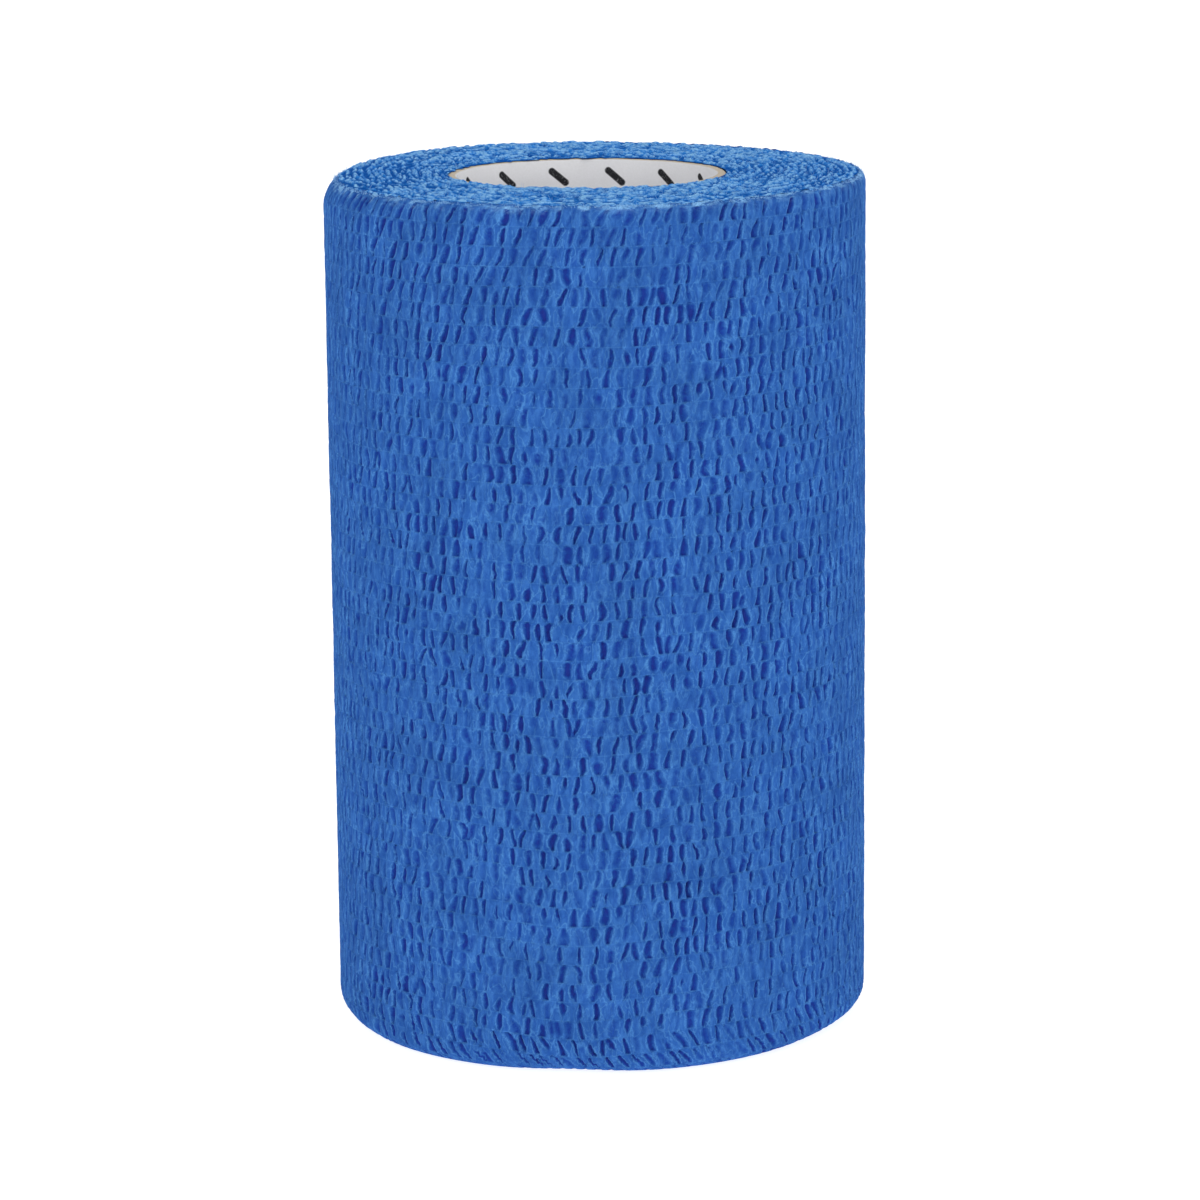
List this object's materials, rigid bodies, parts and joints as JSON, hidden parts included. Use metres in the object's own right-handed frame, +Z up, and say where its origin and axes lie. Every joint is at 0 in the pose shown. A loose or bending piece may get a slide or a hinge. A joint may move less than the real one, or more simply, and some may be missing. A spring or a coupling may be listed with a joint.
{
  "type": "cohesive bandage roll",
  "caption": "Roll of blue crinkled self-adherent elastic bandage wound on a thin paper core, standing on its end.",
  "frame": {"origin": "centre of the wound roll's outline on the surface that it stands on", "axes": "+Z up along the roll's axis; the strip's cut end is stuck down on the +Y side, and -Y faces the picture's camera"},
  "size_m": [0.0632, 0.0636, 0.1007],
  "materials": {
    "cloth": "matte crinkled elastic nonwoven, blue",
    "paper": "matte white paperboard with a cream cut edge"
  },
  "bodies": {
    "root": {"bandage_roll": "cloth", "paper_core": "paper"}
  },
  "joints": []
}
